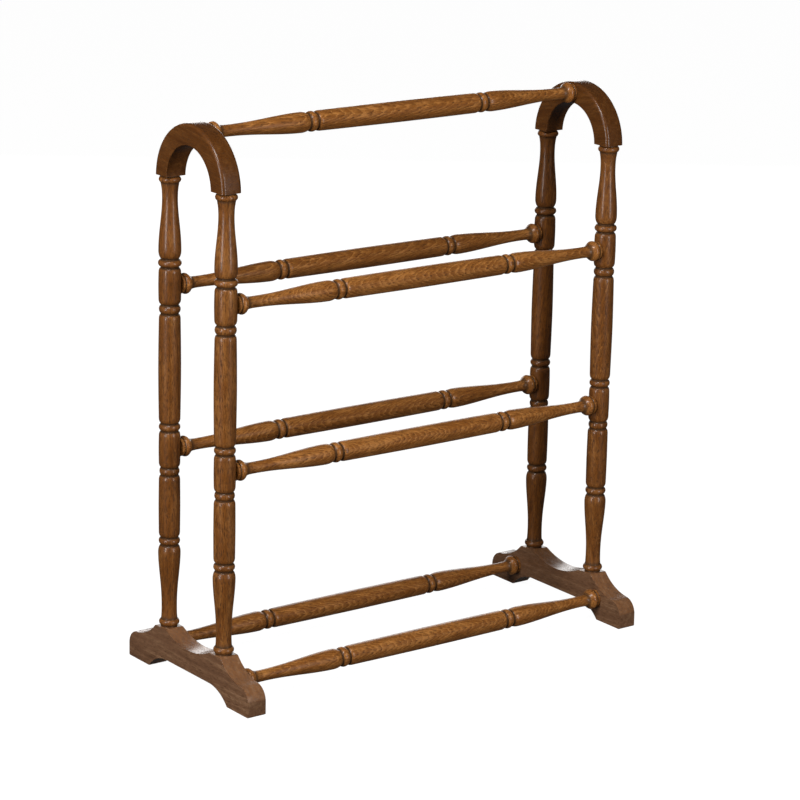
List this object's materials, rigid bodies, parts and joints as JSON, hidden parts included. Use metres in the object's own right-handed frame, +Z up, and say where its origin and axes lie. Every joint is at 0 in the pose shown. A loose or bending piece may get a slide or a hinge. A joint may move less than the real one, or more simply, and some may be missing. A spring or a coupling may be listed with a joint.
{
  "type": "quilt rack",
  "caption": "Free-standing turned-oak rack for quilts or blankets: arched end frames on shaped feet, joined by turned rails with beads and collars.",
  "frame": {"origin": "on the floor, below the middle of the rack", "axes": "+X along the rails towards the right end frame, -Y towards the front, +Z up"},
  "size_m": [0.7638, 0.336, 0.8763],
  "materials": {
    "foot_oak": "satin",
    "arch_oak": "semi-gloss",
    "post_oak": "satin",
    "rail_oak": "satin"
  },
  "bodies": {
    "root": {"left_foot": "foot_oak", "right_foot": "foot_oak", "left_arch": "arch_oak", "right_arch": "arch_oak", "left_front_post": "post_oak", "left_back_post": "post_oak", "right_front_post": "post_oak", "right_back_post": "post_oak", "top_rail": "rail_oak", "upper_front_rail": "rail_oak", "upper_back_rail": "rail_oak", "middle_front_rail": "rail_oak", "middle_back_rail": "rail_oak", "bottom_front_rail": "rail_oak", "bottom_back_rail": "rail_oak"}
  },
  "joints": []
}
